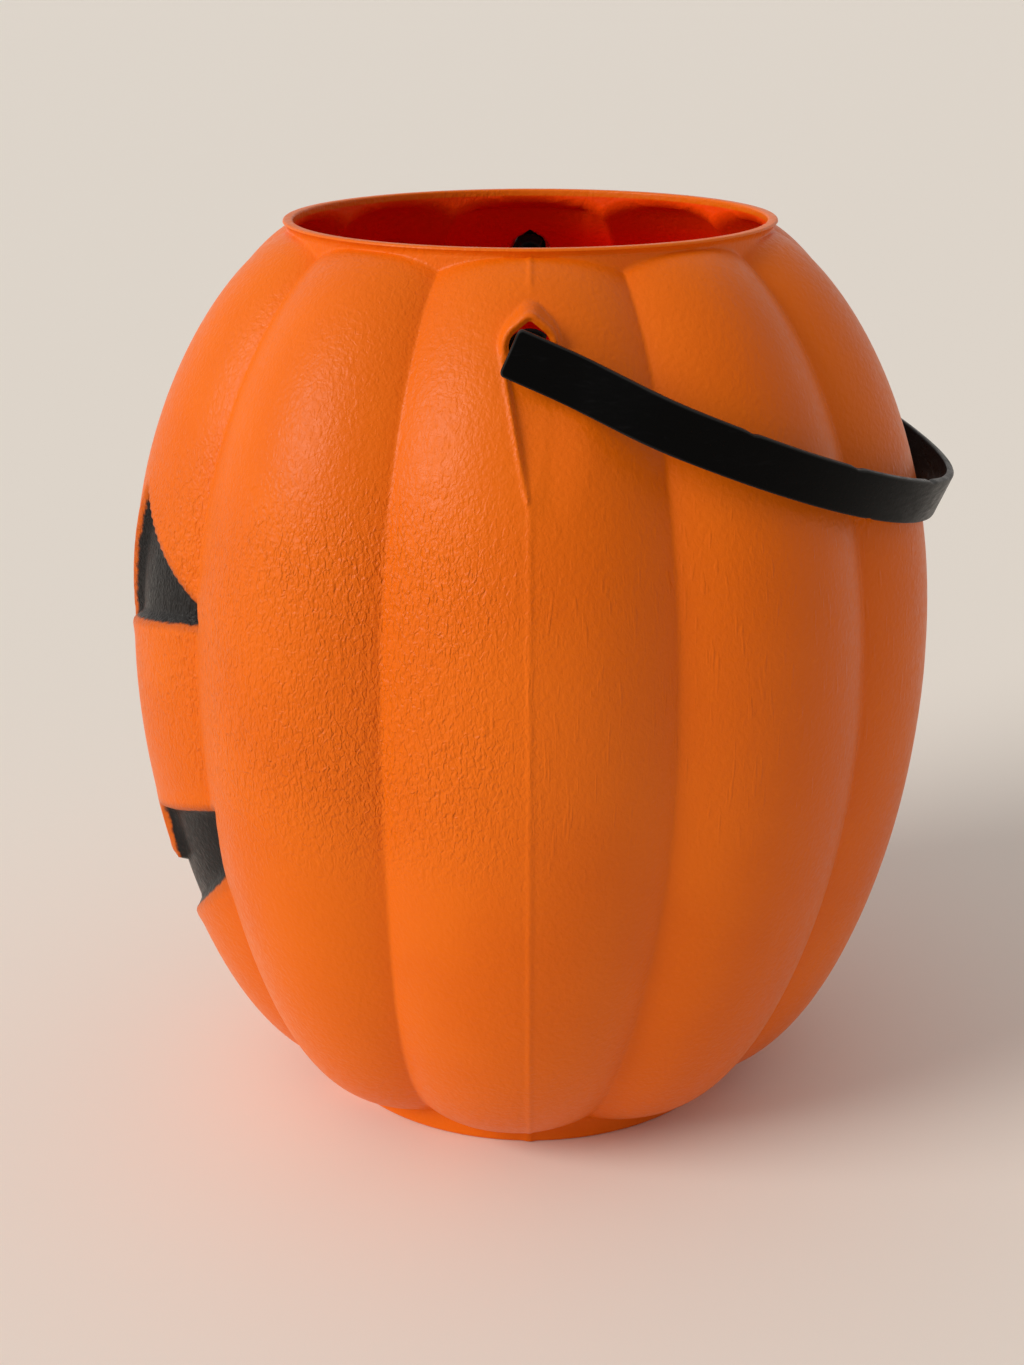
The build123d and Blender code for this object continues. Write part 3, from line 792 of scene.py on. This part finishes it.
def strap_line():
    """Points and outward directions along the level strap, and places from its nearer and its first end."""
    pieces = strap_pieces()
    ends = np.concatenate([[0], np.cumsum([length for length, _ in pieces])])
    headings = np.concatenate([[0], np.cumsum([turn for _, turn in pieces])])
    corner_shares = np.array([0, 0.08, 0.25, 0.5, 0.75, 1])
    rows = graded(STRAP_CORNER, ends[-1], lambda place: np.where(place > ends[1], STRAP_ROW, PAD_ROW))
    places = np.concatenate([STRAP_CORNER * corner_shares, rows[1:]])
    fine = np.linspace(0, ends[-1], CURVE_SAMPLES)
    heading = np.interp(fine, ends, headings)
    step = fine[1]
    mean = (heading[1:] + heading[:-1]) / 2
    x = STRAP_OFFSET + STRAP_THICKNESS / 2 + np.concatenate([[0], np.cumsum(np.sin(mean) * step)])
    y = -STRAP_END + np.concatenate([[0], np.cumsum(np.cos(mean) * step)])
    turn = np.interp(places, fine, heading)
    half = np.stack([np.interp(places, fine, x), np.interp(places, fine, y)], 1)
    outward = np.stack([np.cos(turn), -np.sin(turn)], 1)
    flip = np.array([-1, 1])
    line = np.concatenate([half, half[::-1][1:] * flip])
    outs = np.concatenate([outward, outward[::-1][1:] * flip])
    from_end = np.concatenate([places, places[::-1][1:]])
    return line, outs, from_end, np.concatenate([places, 2 * ends[-1] - places[::-1][1:]])


def strap_section():
    """Outline of the strap's section: a flat band with rounded edges, as (outward, upward) places."""
    half_thick, half_wide = STRAP_THICKNESS / 2, STRAP_WIDTH / 2
    points = []
    for corner, (side, top) in enumerate([(1, 1), (-1, 1), (-1, -1), (1, -1)]):
        centre = (side * (half_thick - STRAP_EDGE), top * (half_wide - STRAP_EDGE))
        points += quarter(centre, STRAP_EDGE, corner * 90, STRAP_EDGE_STEPS)
        if corner in (1, 3):
            flat_half = half_wide - STRAP_EDGE - EDGE_RUB_AND_HIGHLIGHT
            flat = np.linspace(flat_half, -flat_half, STRAP_FLAT_POINTS)
            points += [(side * half_thick, top * place) for place in flat]
    return np.array(points)


def strap_grid():
    """Sections of the band, narrowed at its rounded ends, with a sink mark over each stud and nicks."""
    line, outs, from_end, run = strap_line()
    section = strap_section()
    points = np.zeros((len(line), len(section), 3))
    for row, (place, out, end, along) in enumerate(zip(line, outs, from_end, run)):
        corner = STRAP_CORNER - math.sqrt(max(STRAP_CORNER**2 - max(STRAP_CORNER - end, 0) ** 2, 0))
        ease = STRAP_EDGE - math.sqrt(max(STRAP_EDGE**2 - max(STRAP_EDGE - end, 0) ** 2, 0))
        width = 1 - 2 * corner / STRAP_WIDTH
        thick = 1 - 2 * ease / STRAP_THICKNESS
        across, up = section[:, 0] * thick, section[:, 1] * width
        sink = SINK_DEPTH * np.exp(-((end - STRAP_END) ** 2 + up**2) / (2 * NECK_RADIUS))
        across = across - sink * (section[:, 0] > 0)
        for where, side, size, length in NICKS:
            near = size * math.exp(-(((along - where) / length) ** 2))
            up = up - side * near * (side * section[:, 1] > STRAP_WIDTH / 2 - 2 * STRAP_EDGE)
        points[row, :, 0] = place[0] + out[0] * across
        points[row, :, 1] = place[1] + out[1] * across
        points[row, :, 2] = up
    return points


def grid_faces(rows, columns):
    """Faces of a tube of closed sections, with its two ends capped."""
    faces = [tuple(range(columns))[::-1], tuple((rows - 1) * columns + c for c in range(columns))]
    for row in range(rows - 1):
        faces += [quad(row, column, columns) for column in range(columns)]
    return faces


def stud_points(side):
    """Rings of a stud along X: the domed head, its shoulder, the neck and a flared root in the strap."""
    shoulder = POCKET_FLOOR - HEAD_CLEARANCE
    tip = shoulder - HEAD_THICKNESS
    root = STRAP_OFFSET + STRAP_THICKNESS / 3
    fillet_radius = NECK_RADIUS + NECK_FILLET
    profile = [(tip + along, HEAD_TIP_RADIUS + extra) for along, extra in TIP_ROUNDING]
    profile += [(shoulder + along, HEAD_RADIUS + extra) for along, extra in HEAD_ROUNDING]
    profile += [(shoulder, fillet_radius), (shoulder + NECK_FILLET, NECK_RADIUS)]
    profile += [(STRAP_OFFSET + along, NECK_RADIUS + extra) for along, extra in ROOT_FLARE]
    profile.append((root, profile[-1][1]))
    turns = (np.arange(STUD_STEPS) + 0.5) * 2 * math.pi / STUD_STEPS
    rings = []
    for x, radius in profile:
        y, z = radius * np.cos(turns), radius * np.sin(turns)
        if x <= shoulder:
            y = np.minimum(y, HEAD_FLAT if radius > fillet_radius else HEAD_FLAT - FLAT_STEP)
        rings.append(np.stack([np.full(STUD_STEPS, side * x), y, z], 1))
    return np.array(rings)


def joined(target, others):
    """Fuses closed meshes into the first one."""
    for other in others:
        change = target.modifiers.new("join", "BOOLEAN")
        change.operation = "UNION"
        change.solver = "EXACT"
        change.object = other
    bpy.context.view_layer.update()
    seen = target.evaluated_get(bpy.context.evaluated_depsgraph_get())
    mesh = bpy.data.meshes.new_from_object(seen)
    target.modifiers.clear()
    target.data = mesh
    for other in others:
        bpy.data.objects.remove(other)
    mesh.shade_smooth()
    mesh.set_sharp_from_angle(angle=math.radians(STRAP_SMOOTH_ANGLE))
    return target


def make_handle():
    band = strap_grid()
    strap = mesh_object("handle_band", band.reshape(-1, 3), grid_faces(*band.shape[:2]), STRAP_SMOOTH_ANGLE)
    studs = []
    for side in (-1, 1):
        rings = stud_points(side)
        faces = grid_faces(*rings.shape[:2])
        studs.append(mesh_object("stud", rings.reshape(-1, 3), faces, STRAP_SMOOTH_ANGLE))
    strap = joined(strap, studs)
    drop = Matrix.Rotation(math.radians(-REST_DROP_ANGLE), 4, "X")
    strap.data.transform(Matrix.Translation((0, 0, PIVOT_HEIGHT * MM)) @ drop)
    return strap


# Materials

def new_material(name):
    material = bpy.data.materials.new(name)
    material.use_nodes = True
    tree = material.node_tree
    tree.nodes.clear()
    return material, tree


def node(tree, kind, inputs=None, **settings):
    """Adds a node; an input is a plain value or another node's output."""
    made = tree.nodes.new(kind)
    for name, value in settings.items():
        setattr(made, name, value)
    for key, value in (inputs or {}).items():
        if isinstance(value, bpy.types.NodeSocket):
            tree.links.new(value, made.inputs[key])
        else:
            made.inputs[key].default_value = value
    return made


def maths(tree, operation, a, b=0.0):
    return node(tree, "ShaderNodeMath", {0: a, 1: b}, operation=operation).outputs[0]


def ranged(tree, value, low, high, to_low=0.0, to_high=1.0):
    inputs = {"Value": value, "From Min": low, "From Max": high, "To Min": to_low, "To Max": to_high}
    return node(tree, "ShaderNodeMapRange", inputs, interpolation_type="SMOOTHSTEP").outputs["Result"]


def mixed(tree, factor, a, b):
    return node(tree, "ShaderNodeMix", {0: factor, 6: a, 7: b}, data_type="RGBA").outputs[2]


def place_mm(tree, scale=(1, 1, 1)):
    """Place on the part in millimetres, stretched by a scale for each axis."""
    place = node(tree, "ShaderNodeTexCoord").outputs["Object"]
    size = tuple(share / MM for share in scale)
    return node(tree, "ShaderNodeMapping", {"Vector": place, "Scale": size}).outputs["Vector"]


def noise(tree, place, scale, detail=2.0, rough=0.5, distortion=0.0):
    inputs = {"Vector": place, "Scale": scale, "Detail": detail, "Roughness": rough}
    inputs["Distortion"] = distortion
    return node(tree, "ShaderNodeTexNoise", inputs).outputs["Fac"]


def add_shader(tree, inputs):
    shader = node(tree, "ShaderNodeBsdfPrincipled", inputs)
    node(tree, "ShaderNodeOutputMaterial", {"Surface": shader.outputs["BSDF"]})


def pail_tint(tree, place, fine, height):
    """Orange with slow and fine changes, a painted glow of deeper red inside that stands in for light
    through the thin wall, and sprayed black in the face's recesses.
    """
    slow = noise(tree, place, TINT_SCALE, detail=3.0)
    tint = mixed(tree, ranged(tree, slow, *TINT_RANGE), ORANGE_DEEP, ORANGE)
    pale = maths(tree, "MULTIPLY", ranged(tree, fine, *PALE_RANGE), PALE_SHARE)
    tint = mixed(tree, pale, tint, ORANGE_PALE)
    # Painted light: the inside is tinted deeper red, most below the rim, for light that comes through the
    # wall and bounces inside
    inside = node(tree, "ShaderNodeAttribute", attribute_name="inside").outputs["Fac"]
    inside_glow = maths(tree, "MULTIPLY", inside, ranged(tree, height, *INSIDE_GLOW_HEIGHTS, *INSIDE_GLOW_SHARES))
    tint = mixed(tree, inside_glow, tint, INSIDE_GLOW_RED)
    distance = node(tree, "ShaderNodeAttribute", attribute_name="face_distance").outputs["Fac"]
    uneven = maths(tree, "MULTIPLY", maths(tree, "SUBTRACT", fine, 0.5), PAINT_RAGGEDNESS)
    ragged = maths(tree, "ADD", distance, uneven)
    mist = maths(tree, "MULTIPLY", ranged(tree, ragged, *MIST_EDGE), MIST_SHARE)
    tint = mixed(tree, mist, tint, PAINT_MIST)
    return mixed(tree, ranged(tree, ragged, *PAINT_EDGE), tint, PAINT_BLACK)


def pail_grain(tree, place, height, across):
    """Height of the leather grain, the streaks and the orange peel together, in millimetres."""
    low = ranged(tree, height, *GRAIN_LOW_HEIGHTS)
    high = ranged(tree, height, *GRAIN_HIGH_HEIGHTS, *GRAIN_HIGH_SHARES)
    band = maths(tree, "MULTIPLY", low, high)
    sided = ranged(tree, across, *GRAIN_SIDES, *GRAIN_SIDE_SHARES)
    patches = ranged(tree, noise(tree, place, PATCH_SCALE), *PATCH_RANGE, *PATCH_SHARES)
    leather = maths(tree, "MULTIPLY", maths(tree, "MULTIPLY", band, sided), patches)
    wrinkles = noise(tree, place_mm(tree, WRINKLE_STRETCH), WRINKLE_SCALE, detail=0.8, distortion=1.0)
    leather = maths(tree, "MULTIPLY", leather, maths(tree, "MULTIPLY", wrinkles, WRINKLE_DEPTH))
    streaks = noise(tree, place_mm(tree, STREAK_STRETCH), STREAK_SCALE, detail=1.0)
    streaks = ranged(tree, streaks, *STREAK_RANGE)
    streaks = maths(tree, "MULTIPLY", streaks, maths(tree, "MULTIPLY", band, STREAK_DEPTH))
    peel = maths(tree, "MULTIPLY", noise(tree, place, PEEL_SCALE), PEEL_DEPTH)
    return maths(tree, "ADD", maths(tree, "ADD", leather, streaks), peel)


def pail_material():
    """Satin orange plastic with a moulded grain, and sprayed black in the face's recesses."""
    material, tree = new_material("orange_plastic")
    place = place_mm(tree)
    fine = noise(tree, place, FINE_SCALE, detail=3.0, rough=0.6)
    parts = node(tree, "ShaderNodeSeparateXYZ", {"Vector": place}).outputs
    grain = pail_grain(tree, place, parts["Z"], parts["Y"])
    bump = node(tree, "ShaderNodeBump", {"Height": grain, "Strength": 1.0, "Distance": MM})
    add_shader(tree, {
        "Base Color": pail_tint(tree, place, fine, parts["Z"]),
        "Roughness": ranged(tree, fine, *PAIL_ROUGH_RANGE, *PAIL_ROUGHNESS),
        "Normal": bump.outputs["Normal"],
        "Specular IOR Level": PAIL_SPECULAR,
    })
    return material


def strap_material():
    """Satin black plastic with faint scuffs, and lighter grey along its edges that is partly rubbing and
    partly a painted highlight.
    """
    material, tree = new_material("black_plastic")
    scuffs = noise(tree, place_mm(tree, SCUFF_STRETCH), SCUFF_SCALE, detail=4.0, rough=0.65, distortion=0.4)
    tint = mixed(tree, ranged(tree, scuffs, *SCUFF_RANGE), STRAP_BLACK, STRAP_WORN)
    # Partly wear and partly a painted highlight: the strap's edges turn lighter grey where its mesh is
    # pointed
    pointed = node(tree, "ShaderNodeNewGeometry").outputs["Pointiness"]
    tint = mixed(tree, ranged(tree, pointed, *RUB_AND_HIGHLIGHT_RANGE), tint, STRAP_RUBBED_AND_HIGHLIT)
    grain = maths(tree, "MULTIPLY", noise(tree, place_mm(tree), STRAP_GRAIN_SCALE), STRAP_GRAIN_DEPTH)
    bump = node(tree, "ShaderNodeBump", {"Height": grain, "Strength": STRAP_GRAIN_SHARE, "Distance": MM})
    add_shader(tree, {
        "Base Color": tint,
        "Roughness": ranged(tree, scuffs, *STRAP_ROUGH_RANGE, *STRAP_ROUGHNESS),
        "Normal": bump.outputs["Normal"],
        "Specular IOR Level": STRAP_SPECULAR,
    })
    return material


def floor_material():
    material, tree = new_material("pale_floor")
    add_shader(tree, {
        "Base Color": FLOOR_PALE,
        "Roughness": FLOOR_ROUGHNESS,
        "Specular IOR Level": FLOOR_SPECULAR,
    })
    return material


# Stage

def make_floor():
    half = FLOOR_HALF * MM
    corner_points = [(-half, -half, 0), (half, -half, 0), (half, half, 0), (-half, half, 0)]
    mesh = bpy.data.meshes.new("floor")
    mesh.from_pydata(corner_points, [], [(0, 1, 2, 3)])
    floor = bpy.data.objects.new("floor", mesh)
    bpy.context.collection.objects.link(floor)
    floor.data.materials.append(floor_material())


def make_camera():
    pitch, yaw, roll = (math.radians(angle) for angle in (CAMERA_PITCH, CAMERA_YAW, CAMERA_ROLL))
    forward = Vector((-math.cos(pitch) * math.cos(yaw), -math.sin(yaw) * math.cos(pitch), -math.sin(pitch)))
    level_right = forward.cross(Vector((0, 0, 1))).normalized()
    level_up = level_right.cross(forward)
    right = level_right * math.cos(roll) + level_up * math.sin(roll)
    up = level_up * math.cos(roll) - level_right * math.sin(roll)
    lens = bpy.data.cameras.new("camera")
    lens.lens = CAMERA_LENS
    lens.sensor_width = CAMERA_FRAME
    lens.clip_start = CAMERA_CLIP * MM
    camera = bpy.data.objects.new("camera", lens)
    turn = Matrix((right, up, -forward)).transposed().to_4x4()
    camera.matrix_world = Matrix.Translation((CAMERA_DISTANCE * MM, 0, CAMERA_HEIGHT * MM)) @ turn
    bpy.context.collection.objects.link(camera)
    bpy.context.scene.camera = camera


def make_window():
    """A broad soft window light from the left of the camera."""
    lamp = bpy.data.lights.new("window", "SUN")
    lamp.energy = WINDOW_STRENGTH
    lamp.color = WINDOW_COLOUR
    lamp.angle = math.radians(WINDOW_SPREAD)
    window = bpy.data.objects.new("window", lamp)
    window.rotation_euler = (math.radians(90 - WINDOW_ELEVATION), 0, math.radians(90 + WINDOW_AZIMUTH))
    bpy.context.collection.objects.link(window)


def make_surround():
    """Light from all round, brighter on the window's side, with two pale walls, and a pale backdrop."""
    world = bpy.data.worlds.new("surround")
    world.use_nodes = True
    tree = world.node_tree
    towards = node(tree, "ShaderNodeTexCoord").outputs["Generated"]

    def facing(side):
        product = node(tree, "ShaderNodeVectorMath", {0: towards, 1: side}, operation="DOT_PRODUCT")
        return product.outputs["Value"]

    strength = ranged(tree, facing(SURROUND_BRIGHT_SIDE), SURROUND_EDGE, 1, SURROUND_DIM, SURROUND_BRIGHT)
    for side, edge, glow in PALE_WALLS:
        strength = maths(tree, "ADD", strength, ranged(tree, facing(side), edge, 1, 0.0, glow))
    ray = node(tree, "ShaderNodeLightPath").outputs
    seen = maths(tree, "MAXIMUM", ray["Is Camera Ray"], ray["Is Glossy Ray"])
    seen = maths(tree, "MAXIMUM", seen, ray["Is Transmission Ray"])
    strength = ranged(tree, seen, 0, 1, strength, BACKDROP)
    background = tree.nodes["Background"]
    background.inputs["Color"].default_value = SURROUND_COLOUR
    tree.links.new(strength, background.inputs["Strength"])
    bpy.context.scene.world = world


def corners(box):
    return [[float(value) for value in corner] for corner in box]


def main():
    pail = make_pail()
    pail.data.materials.append(pail_material())
    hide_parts("pail_shell")
    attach(pail, "pail")

    handle = make_handle()
    handle.data.materials.append(strap_material())
    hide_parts("handle_strap")
    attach(handle, "handle")

    make_floor()
    make_camera()
    make_window()
    make_surround()
    bpy.context.scene.view_settings.view_transform = "Standard"


main()
